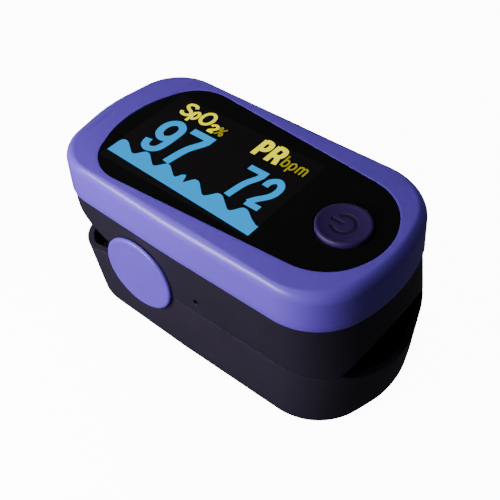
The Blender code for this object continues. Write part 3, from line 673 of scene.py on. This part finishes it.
def stroke(name, path, width, z, material, grow=0.0, closed=False):
    """A line of even width that follows a 2D path, with square ends."""
    spots = [Vector(p) for p in path]
    if grow and not closed:
        spots[0] = spots[0] + (spots[0] - spots[1]).normalized() * grow
        spots[-1] = spots[-1] + (spots[-1] - spots[-2]).normalized() * grow
    half = width / 2 + grow
    count = len(spots)
    left, right = [], []
    for k, spot in enumerate(spots):
        if closed:
            before, after = spots[k - 1], spots[(k + 1) % count]
        else:
            before, after = spots[max(k - 1, 0)], spots[min(k + 1, count - 1)]
        into, away = spot - before, after - spot
        if into.length < 1e-9:
            into = away
        if away.length < 1e-9:
            away = into
        into, away = into.normalized(), away.normalized()
        middle = (into + away).normalized()
        reach = half / max(0.35, middle.dot(into))
        across = Vector((-middle.y, middle.x)) * reach
        left.append(spot + across)
        right.append(spot - across)
    bm = bmesh.new()
    rows = [[bm.verts.new((p.x, p.y, h)) for p in side] for side in (left, right) for h in (z, z - PLATE)]
    top_left, low_left, top_right, low_right = rows
    last = count if closed else count - 1
    for k in range(last):
        n = (k + 1) % count
        bm.faces.new((top_left[k], top_left[n], top_right[n], top_right[k]))
        bm.faces.new((low_left[k], low_right[k], low_right[n], low_left[n]))
        bm.faces.new((top_left[k], low_left[k], low_left[n], top_left[n]))
        bm.faces.new((top_right[k], top_right[n], low_right[n], low_right[k]))
    if not closed:
        for k in (0, -1):
            bm.faces.new((top_left[k], top_right[k], low_right[k], low_left[k]))
    return mesh_object(name, bm, material)


def place_sign(name, strokes, width, material):
    """A sign made of strokes, each over its dark edge."""
    for k, (path, closed) in enumerate(strokes):
        for kind, z, look, grow in (("ink", INK_Z, INK, INK_EDGE), ("lit", SIGN_Z, material, 0.0)):
            piece = stroke(f"{name}_{kind}_{k + 1}", path, width, z, look, grow, closed)
            settle(piece, "upper_jaw", "display_glass")


def scaled(points, x, y, wide, high):
    """Points of a unit glyph, 1 wide and 1 high, put at their place."""
    return [(x + u * wide, y + v * high) for u, v in points]


# Unit glyphs in a box 1 wide and 1 high: centre lines, each with whether it is closed and whether it curves.
BOWL = (
    [(0.5, 1.0), (0.1, 0.8), (0.05, 0.5), (0.1, 0.2), (0.5, 0.0), (0.9, 0.2), (1.0, 0.5), (0.9, 0.8)],
    True,
    True,
)
NINE_LEFT = [(0.5, 1.0), (0.12, 0.9), (0.0, 0.71), (0.12, 0.52)]
NINE_RIGHT = [(0.5, 0.42), (0.88, 0.52), (1.0, 0.71), (0.9, 0.9)]
NINE = (
    (NINE_LEFT + NINE_RIGHT, True, True),
    ([(1.0, 0.74), (1.0, 0.36), (0.88, 0.1), (0.5, 0.0), (0.15, 0.07), (0.03, 0.25)], False, True),
)
SEVEN = (
    ([(0.0, 1.0), (1.0, 1.0), (1.0, 0.84)], False, False),
    ([(0.98, 1.0), (0.95, 0.82), (0.62, 0.45), (0.46, -0.08)], False, True),
)
TWO_HEAD = [(0.03, 0.68), (0.1, 0.88), (0.5, 1.0), (0.88, 0.9), (1.0, 0.7)]
TWO_NECK = [(0.86, 0.47), (0.36, 0.2), (0.1, 0.02)]
TWO = (
    (TWO_HEAD + TWO_NECK, False, True),
    ([(0.0, 0.0), (1.05, 0.0)], False, False),
)
S_TOP = [(0.98, 0.8), (0.8, 0.96), (0.5, 1.0), (0.14, 0.93), (0.04, 0.74), (0.3, 0.56)]
S_BOTTOM = [(0.72, 0.44), (0.97, 0.27), (0.84, 0.06), (0.45, 0.0), (0.12, 0.06), (0.0, 0.22)]
LETTER_S = ((S_TOP + S_BOTTOM, False, True),)
LETTER_P_LOW = (([(0.0, 0.9), (0.0, -0.5)], False, False), BOWL)
LETTER_B_LOW = (([(0.0, 1.6), (0.0, 0.0)], False, False), BOWL)
LETTER_M_LOW = (
    ([(0.0, 1.0), (0.0, 0.0)], False, False),
    ([(0.0, 0.7), (0.12, 0.95), (0.3, 1.0), (0.45, 0.9), (0.5, 0.65), (0.5, 0.0)], False, True),
    ([(0.5, 0.7), (0.62, 0.95), (0.8, 1.0), (0.95, 0.9), (1.0, 0.65), (1.0, 0.0)], False, True),
)
O_LEFT = [(0.5, 1.0), (0.12, 0.84), (0.0, 0.5), (0.12, 0.16)]
O_RIGHT = [(0.5, 0.0), (0.88, 0.16), (1.0, 0.5), (0.88, 0.84)]
LETTER_O = ((O_LEFT + O_RIGHT, True, True),)
PERCENT = (
    ([(0.98, 1.0), (0.05, 0.0)], False, False),
    ([(0.22, 1.0), (0.05, 0.8), (0.22, 0.6), (0.4, 0.8)], True, True),
    ([(0.8, 0.4), (0.62, 0.2), (0.8, 0.0), (0.98, 0.2)], True, True),
)
P_BOWL = [(0.0, 1.0), (0.55, 1.0), (0.9, 0.92), (1.0, 0.72), (0.9, 0.52), (0.55, 0.43), (0.0, 0.43)]
CAPITAL_P = (([(0.0, 1.05), (0.0, -0.05)], False, False), (P_BOWL, False, True))
CAPITAL_R = CAPITAL_P + (([(0.62, 0.46), (0.85, 0.28), (1.0, -0.05)], False, True),)


def write(name, glyph, x, y, wide, high, width, material):
    """A glyph with its lower left corner at (x, y), drawn with lines of the given width."""
    strokes = []
    for points, closed, curved in glyph:
        path = scaled(points, x, y, wide, high)
        strokes.append((smooth_path(path, 8, closed) if curved else path, closed))
    place_sign(name, strokes, width, material)


def pulse_wave():
    """Outline of the filled pulse wave: each beat climbs steeply and falls slowly.

    A beat is (crest x, crest y, dip x, dip y).
    """
    low, left, right = -9.45, -21.4, 10.4
    beats = (
        (-20.6, -5.75, -17.1, -7.6),
        (-15.4, -5.85, -12.2, -7.7),
        (-10.5, -5.95, -7.6, -7.6),
        (-6.4, -6.2, -5.6, -7.7),
        (-4.2, -6.0, -0.9, -8.1),
        (0.9, -6.2, 4.5, -8.2),
        (6.2, -6.3, 9.9, -8.2),
    )
    points = [(left, -6.7)]
    for crest_x, crest_y, dip_x, dip_y in beats:
        fall = dip_x - crest_x
        points += [(crest_x - 0.55, crest_y - 0.28), (crest_x, crest_y)]
        points.append((crest_x + 0.22 * fall, crest_y - 0.18))
        points.append((crest_x + 0.6 * fall, crest_y + 0.6 * (dip_y - crest_y)))
        points.append((dip_x, dip_y))
    top = smooth_path(points, 5)
    return [(left, low)] + [(p.x, p.y) for p in top] + [(right, -8.2), (right, -10.7)]


def make_screen():
    """The screen area with the two figures, their labels and the pulse wave."""
    (left, low), (right, high) = SCREEN_LOW, SCREEN_HIGH
    area = ((left, low), (right, low), (right, high), (left, high))
    wave = pulse_wave()
    grown = [(p.x, p.y) for p in inset([Vector(p) for p in wave], -INK_EDGE)]
    settle(plate("screen_area", area, AREA_Z, SCREEN), "upper_jaw", "display_glass")
    settle(plate("wave_ink", grown, INK_Z, INK), "upper_jaw", "display_glass")
    settle(plate("wave_lit", wave, SIGN_Z, CYAN), "upper_jaw", "display_glass")
    write("oxygen_nine", NINE, -17.9, -5.0, 3.35, 8.1, 1.4, CYAN)
    write("oxygen_seven", SEVEN, -13.25, -5.2, 4.1, 8.2, 1.5, CYAN)
    write("pulse_seven", SEVEN, 0.45, -5.2, 3.15, 7.0, 1.25, CYAN)
    write("pulse_two", TWO, 5.3, -5.1, 2.6, 6.9, 1.25, CYAN)
    write("label_s", LETTER_S, -18.6, 5.6, 1.9, 3.1, 0.65, YELLOW)
    write("label_p", LETTER_P_LOW, -16.25, 5.5, 1.1, 2.0, 0.55, YELLOW)
    write("label_o", LETTER_O, -14.45, 5.55, 2.25, 3.2, 0.65, YELLOW)
    write("label_two", TWO, -11.5, 4.75, 1.2, 1.9, 0.55, YELLOW)
    write("label_percent", PERCENT, -10.0, 4.75, 1.5, 2.1, 0.32, DIM_YELLOW)
    write("rate_p", CAPITAL_P, -1.35, 4.85, 1.5, 3.85, 0.95, YELLOW)
    write("rate_r", CAPITAL_R, 1.4, 4.85, 1.7, 3.85, 0.95, YELLOW)
    write("unit_b", LETTER_B_LOW, 4.1, 5.2, 0.95, 1.75, 0.33, DIM_YELLOW)
    write("unit_p", LETTER_P_LOW, 5.6, 5.2, 0.95, 1.75, 0.33, DIM_YELLOW)
    write("unit_m", LETTER_M_LOW, 7.2, 5.1, 1.5, 1.85, 0.33, DIM_YELLOW)


# ---------------------------------------------------------------- button and discs

# The power mark: its ring, half the width of its lines, its depth, the slope of its walls, and its gap.
MARK_R = 1.95
MARK_HALF = 0.32
MARK_DEPTH = 0.07
MARK_SLOPE = 0.16
MARK_GAP = math.radians(38)
MARK_BAR = (-2.3, -0.1)

# The button's face is cut finely enough for the mark up to this radius.
MARK_FIELD_R = 3.4
FIELD_RINGS = 60
BUTTON_STEPS = 192

# Button profile as (radius, height): the dished face out to its rim, then the side down to the flange.
BUTTON_TOP_Z = 33.36
BUTTON_FACE = (
    (0.0, BUTTON_TOP_Z),
    (1.5, 33.37),
    (2.7, 33.42),
    (3.6, 33.52),
    (4.05, 33.6),
    (4.3, 33.6),
    (4.48, 33.52),
    (4.57, 33.38),
)
BUTTON_SIDE = ((BUTTON_R, 33.2), (BUTTON_R, 31.6), (5.7, 31.5), (5.7, 30.72))


def mark_depth(x, y):
    """How deep the power mark is at a point of the button: a ring open towards -X, and a bar there."""
    off_ring = abs(math.hypot(x, y) - MARK_R) if abs(math.atan2(y, -x)) > MARK_GAP else math.inf
    off_bar = abs(y) if MARK_BAR[0] < x < MARK_BAR[1] else math.inf
    near = min(off_ring, off_bar) - MARK_HALF
    return MARK_DEPTH * min(max(0.5 - near / MARK_SLOPE, 0.0), 1.0)


def height_at(profile, radius):
    """The height of a (radius, height) profile at a radius."""
    for (r0, z0), (r1, z1) in zip(profile, profile[1:]):
        if r1 >= radius:
            return z0 + (z1 - z0) * (radius - r0) / (r1 - r0)


def make_button():
    """The round cap with its mark, on the flange that keeps it under the window."""
    face = [(p.x, p.y) for p in smooth_path(BUTTON_FACE, 8) if p.x > 0.01]
    radii = [MARK_FIELD_R * k / FIELD_RINGS for k in range(1, FIELD_RINGS + 1)]
    fine = [(radius, height_at(face, radius)) for radius in radii]
    profile = fine + [(r, z) for r, z in face if r > MARK_FIELD_R + 0.05] + list(BUTTON_SIDE)
    bm = bmesh.new()
    rings = []
    for radius, z in profile:
        ring = []
        for k in range(BUTTON_STEPS):
            angle = 2 * math.pi * k / BUTTON_STEPS
            x, y = radius * math.cos(angle), radius * math.sin(angle)
            drop = mark_depth(x, y) if radius <= MARK_FIELD_R else 0.0
            ring.append(bm.verts.new((BUTTON_X + x, y, z - drop)))
        rings.append(ring)
    tip = bm.verts.new((BUTTON_X, 0, BUTTON_TOP_Z))
    for k in range(BUTTON_STEPS):
        bm.faces.new((tip, rings[0][k], rings[0][(k + 1) % BUTTON_STEPS]))
    for lower, upper in zip(rings, rings[1:]):
        for k in range(BUTTON_STEPS):
            after = (k + 1) % BUTTON_STEPS
            bm.faces.new((lower[k], lower[after], upper[after], upper[k]))
    bm.faces.new(rings[-1])
    for face in bm.faces:
        spot = face.calc_center_median()
        if spot.z > GLASS_Z and mark_depth(spot.x - BUTTON_X, spot.y) > MARK_DEPTH / 2:
            face.material_index = 1
    button = mesh_object("button_cap", bm, BUTTON_VIOLET, 40)
    button.data.materials.append(ENGRAVED)
    settle(button, "power_button", "dark_violet_plastic", "power_button")


def make_discs():
    """The pivot covers: a slightly sunk face, a rounded rim, and a boss into the casing."""
    face, back, rim = DISC_FACE_Y, DISC_BACK_Y, DISC_R
    profile = [(0.0, face - 0.1), (4.6, face - 0.1), (6.2, face - 0.07), (6.55, face - 0.02), (6.75, face)]
    profile += [(rim - 0.4, face - 0.02), (rim - 0.2, face - 0.09), (rim - 0.06, face - 0.22)]
    profile += [(rim, face - 0.42), (rim, back + 0.06), (rim - 0.06, back)]
    profile += [(5.0, back), (5.0, 15.3), (0.0, 15.3)]
    for side, word in ((-1, "left"), (1, "right")):
        disc = revolve(f"pivot_cover_{word}", profile, (HINGE_X, 0, HINGE_Z), (0, side, 0), VIOLET, 160, 40)
        settle(disc, "upper_jaw", "violet_plastic", f"hinge_disc_{word}")


# ---------------------------------------------------------------- casings

# Far enough out for a tool to clear the casings on either side, behind and above.
PAST_SIDE = 20.0
PAST_REAR = -40.0
PAST_TOP = 28.0

# Upper casing: the gap at the seam and under the cover, and the cross-sections of its wall.
SEAM_GAP = 0.14
COVER_GAP = 0.12
WALL_SECTIONS = 15
TOP_SPACE_WALL = DARK_STEP + UPPER_WALL + 0.8
STRAP_WAY = (3.45, 17.4)
STRAP_WAY_R = 0.55

# Screw bosses under the board, ears for the shaft, and screw posts in the lower casing.
BOSS_R = 2.1
BOSS_WAY_R = 1.1
BOSS_WAY_Z = 22.7
EAR_HALF = 2.7
EAR_R = 2.8
EAR_SWEEP_R = 3.3
SCREW_HEAD_R = 1.5
SCREW_WAY_R = 1.05


def make_upper_casing():
    """The dark casing under the cover, with its lip, bosses, ears and the upper half of the opening."""
    start, end = SEAM_Z + SEAM_GAP, COVER_BOTTOM_Z - COVER_GAP
    wall = start + 0.2
    levels = [(start, DARK_STEP + 0.12), (start + 0.04, DARK_STEP + 0.03), (wall, DARK_STEP)]
    levels += [(wall + (end - wall) * k / WALL_SECTIONS, DARK_STEP) for k in range(1, WALL_SECTIONS + 1)]
    casing = body_loft("upper_casing", undercut_plan, levels, DARK_UPPER)
    weld(casing, body_loft("register_lip", upper_plan, [(z, COVER_WALL + 0.3) for z in (24.0, 27.2)]))

    rear_heights = (12.0, 17.0, 18.8, 19.2, 19.9, 20.8, 21.8, UNDERCUT_Z, 24.0, PAST_TOP)
    rear = body_loft("rear_space", undercut_plan, [(z, DARK_STEP + UPPER_WALL) for z in rear_heights])
    carve(rear, block("rear_limit", (CHANNEL_END_X - 1.4, -25, 5), (50, 25, 35)))
    notch = [(HINGE_X + 1.2, 14.0), (HINGE_X + 1.2, 14.9), (HINGE_X, 14.9), (-17.0, 18.2), (-30.5, 18.9)]
    notch += [(PAST_REAR, 19.2), (PAST_REAR, 5.0), (HINGE_X, 5.0)]
    eye = arc_points(EYE_HALF, EYE_RISE, SEAM_Z, True)
    foot = [(EYE_HALF, SEAM_Z - 3), (-EYE_HALF, SEAM_Z - 3)]
    pad_bed = [(y, z + PAD_THICK + PAD_GAP * 2) for y, z in eye]
    strap_x, strap_z = STRAP_WAY
    carve(
        casing,
        body_loft("top_space", undercut_plan, [(z, TOP_SPACE_WALL) for z in (22.2, 24.0, PAST_TOP)]),
        rear,
        prism("notch_space", notch, "Y", -PAST_SIDE, PAST_SIDE),
        prism("mouth_space", eye + foot, "X", CHANNEL_END_X - 0.2, 45),
        prism("pad_space", pad_bed + foot, "X", CHANNEL_END_X, PAD_FRONT_X + PAD_GAP),
        rod("emitter_way", (OPTIC_X, 0, 19), (OPTIC_X, 0, 24), OPTIC_R + 0.4),
        rod("strap_way", (strap_x, -13.0, strap_z), (strap_x, -PAST_SIDE, strap_z), STRAP_WAY_R, 32),
    )

    weld(casing, block("tail_rib", (RIB_X[0], -14.35, 23.0), (RIB_X[1], 14.35, 25.7)))
    for k, (x, y) in enumerate(SCREW_PLACES):
        floor = 23.2 if x < 0 else 21.5
        weld(casing, rod(f"boss_{k}", (x, y, floor), (x, y, BOARD_BOTTOM_Z - 0.2), BOSS_R, 32))
        carve(casing, rod(f"boss_way_{k}", (x, y, BOSS_WAY_Z), (x, y, 27), BOSS_WAY_R, 24))
    ear_x, ear_z = (HINGE_X - EAR_HALF, HINGE_X + EAR_HALF), (HINGE_Z - 0.4, 24.5)
    for side in (1, -1):
        near, far = sorted(side * y for y in UPPER_EAR_Y)
        carve(casing, crossbar(f"disc_seat_{side}", side * 15.2, side * PAST_SIDE, DISC_RECESS_R))
        weld(casing, block(f"ear_{side}", (ear_x[0], near, ear_z[0]), (ear_x[1], far, ear_z[1])))
        weld(casing, crossbar(f"ear_end_{side}", near, far, EAR_R))
        carve(casing, crossbar(f"ear_way_{side}", side * 11, side * 18, SHAFT_R + 0.25))
    settle(casing, "upper_jaw", "dark_plastic", "upper_body")


def mouth_cutter(name):
    """The lower half of the finger opening, as a scoop that tilts down towards the mouth."""
    half = EYE_HALF + 0.6
    dip = arc_points(half, EYE_DIP, SEAM_Z, False)
    scoop = prism(name, dip + [(half, SEAM_Z + 12), (-half, SEAM_Z + 12)], "X", -12, 12)
    pivot = Vector((MOUTH_X - CENTRE_X, 0, SEAM_Z - EYE_DIP)) * MM
    tilt = Matrix.Translation(pivot) @ Matrix.Rotation(MOUTH_TILT, 4, "Y")
    scoop.data.transform(tilt @ Matrix.Translation(-Vector((-CENTRE_X, 0, SEAM_Z - EYE_DIP)) * MM))
    return scoop


def make_lower_casing():
    """The lower jaw's dark tray, with the mouth, the door's opening and grooves, and two screw posts."""
    levels = [(BOTTOM_ROUND * (1 - math.cos(math.radians(a))), 0.0) for a in range(0, 91, 9)]
    levels += [(BOTTOM_ROUND + (SEAM_Z - 0.2 - BOTTOM_ROUND) * k / 10, 0.0) for k in range(1, 11)]
    levels += [(SEAM_Z - 0.02, 0.01), (SEAM_Z, 0.03)]
    casing = body_loft("lower_casing", lower_plan, levels, DARK)
    inside = [(z, LOWER_WALL) for z in (LOWER_FLOOR, 2.3, BOTTOM_ROUND, 9.0, SEAM_Z, SEAM_Z + 2)]
    carve(casing, body_loft("cell_space", lower_plan, inside))
    for side in (1, -1):
        x, y = FRAME_SCREW[0], side * FRAME_SCREW[1]
        weld(casing, rod(f"post_{side}", (x, y, LOWER_FLOOR - 0.3), (x, y, 8.2), FRAME_POST_R, 40))
        carve(
            casing,
            rod(f"screw_well_{side}", (x, y, -1), (x, y, 5.0), SCREW_HEAD_R, 40),
            rod(f"screw_way_{side}", (x, y, 4), (x, y, 9), SCREW_WAY_R, 32),
            crossbar(f"disc_seat_{side}", side * 15.2, side * PAST_SIDE, DISC_RECESS_R),
            crossbar(f"ear_sweep_{side}", side * 12, side * 15.4, EAR_SWEEP_R),
        )
    tail = [(-16.4, 15.5), (-16.4, SEAM_Z - 0.05), (-18.4, 14.35), (-20.4, 13.95), (-22.4, 13.3)]
    tail += [(-25.4, 12.8), (PAST_REAR, 12.4), (PAST_REAR, 16.0)]
    half, front = DOOR_HALF + DOOR_GAP, DOOR_FRONT_X + DOOR_GAP
    wide = half + DOOR_TONGUE
    carve(
        casing,
        prism("tail_space", tail, "Y", -PAST_SIDE, PAST_SIDE),
        mouth_cutter("mouth_scoop"),
        block("door_space", (PAST_REAR, -half, -1), (front, half, LOWER_FLOOR + 0.15)),
        block("door_grooves", (PAST_REAR, -wide, 0.4), (front, wide, 1.25)),
    )
    settle(casing, "lower_jaw", "dark_plastic", "lower_shell")


# ---------------------------------------------------------------- camera, floor and light

FLOOR_HALF = 3000
FLOOR_DROP = 0.2
FLOOR_GLOW = 12.0
WORLD_COLOUR = (0.75, 0.75, 0.85, 1)
WORLD_STRENGTH = 0.07


def make_camera():
    azimuth, elevation, roll = (math.radians(a) for a in CAMERA_TURN)
    right = Vector((math.cos(azimuth), math.sin(azimuth), 0))
    level = Vector((math.sin(azimuth), -math.cos(azimuth), 0))
    back = level * math.cos(elevation) + Vector((0, 0, math.sin(elevation)))
    up = back.cross(right)
    rolled_right = math.cos(roll) * right + math.sin(roll) * up
    rolled_up = math.cos(roll) * up - math.sin(roll) * right
    turn = Matrix((rolled_right, rolled_up, back)).transposed().to_4x4()
    lens = bpy.data.cameras.new("camera")
    lens.lens = CAMERA_LENS
    lens.sensor_width = 36.0
    lens.clip_start = 0.005
    camera = bpy.data.objects.new("camera", lens)
    camera.matrix_world = Matrix.Translation((Vector(CAMERA_AT) - Vector((CENTRE_X, 0, 0))) * MM) @ turn
    bpy.context.scene.collection.objects.link(camera)
    bpy.context.scene.camera = camera


def make_floor():
    """A pale floor bright enough to look white, which neither lights the object nor shows in its gloss."""
    bm = bmesh.new()
    bmesh.ops.create_grid(bm, x_segments=1, y_segments=1, size=FLOOR_HALF)
    floor = mesh_object("floor", bm, None)
    floor.location.z = -FLOOR_DROP * MM
    made = make_material("pale_floor", (0.9, 0.9, 0.9), 0.9, mottle=0.005)
    shader = made.node_tree.nodes["Principled BSDF"]
    shader.inputs["Emission Color"].default_value = (1, 1, 1, 1)
    shader.inputs["Emission Strength"].default_value = FLOOR_GLOW
    floor.data.materials.append(made)
    floor.visible_glossy = False
    floor.visible_diffuse = False


def area_light(name, place, aim, size, power):
    """A soft box at a place, turned towards a point."""
    data = bpy.data.lights.new(name, "AREA")
    data.shape = "RECTANGLE"
    data.size, data.size_y = (s * MM for s in size)
    data.energy = power
    lamp = bpy.data.objects.new(name, data)
    lamp.location = Vector(place) * MM
    lamp.rotation_euler = (Vector(aim) * MM - lamp.location).to_track_quat("-Z", "Y").to_euler()
    bpy.context.scene.collection.objects.link(lamp)
    return lamp


def make_light():
    """A low key for the bright line along the near edge, a soft top light, and one from behind."""
    world = bpy.data.worlds.new("studio")
    world.use_nodes = True
    background = world.node_tree.nodes["Background"]
    background.inputs["Color"].default_value = WORLD_COLOUR
    background.inputs["Strength"].default_value = WORLD_STRENGTH
    bpy.context.scene.world = world
    area_light("key", (-38, -102, 66), (-4, 0, 24), (100, 30), 0.22)
    area_light("top", (-120, -60, 480), (0, 0, 20), (200, 200), 0.25)
    rim = area_light("rim", (-200, 260, 50), (0, 0, 15), (160, 60), 0.45)
    rim.visible_glossy = False


# ---------------------------------------------------------------- the whole

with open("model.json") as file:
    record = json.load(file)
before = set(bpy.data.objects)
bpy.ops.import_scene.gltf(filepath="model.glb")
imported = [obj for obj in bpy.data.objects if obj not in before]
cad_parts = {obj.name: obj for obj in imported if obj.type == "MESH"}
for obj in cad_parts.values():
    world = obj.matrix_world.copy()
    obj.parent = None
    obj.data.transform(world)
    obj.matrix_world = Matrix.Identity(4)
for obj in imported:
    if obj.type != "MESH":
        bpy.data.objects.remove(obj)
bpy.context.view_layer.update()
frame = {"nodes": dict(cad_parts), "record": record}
make_camera()
make_floor()
make_light()
dress_nodes(frame)
make_cover()
make_window()
make_screen()
make_button()
make_discs()
make_upper_casing()
make_lower_casing()
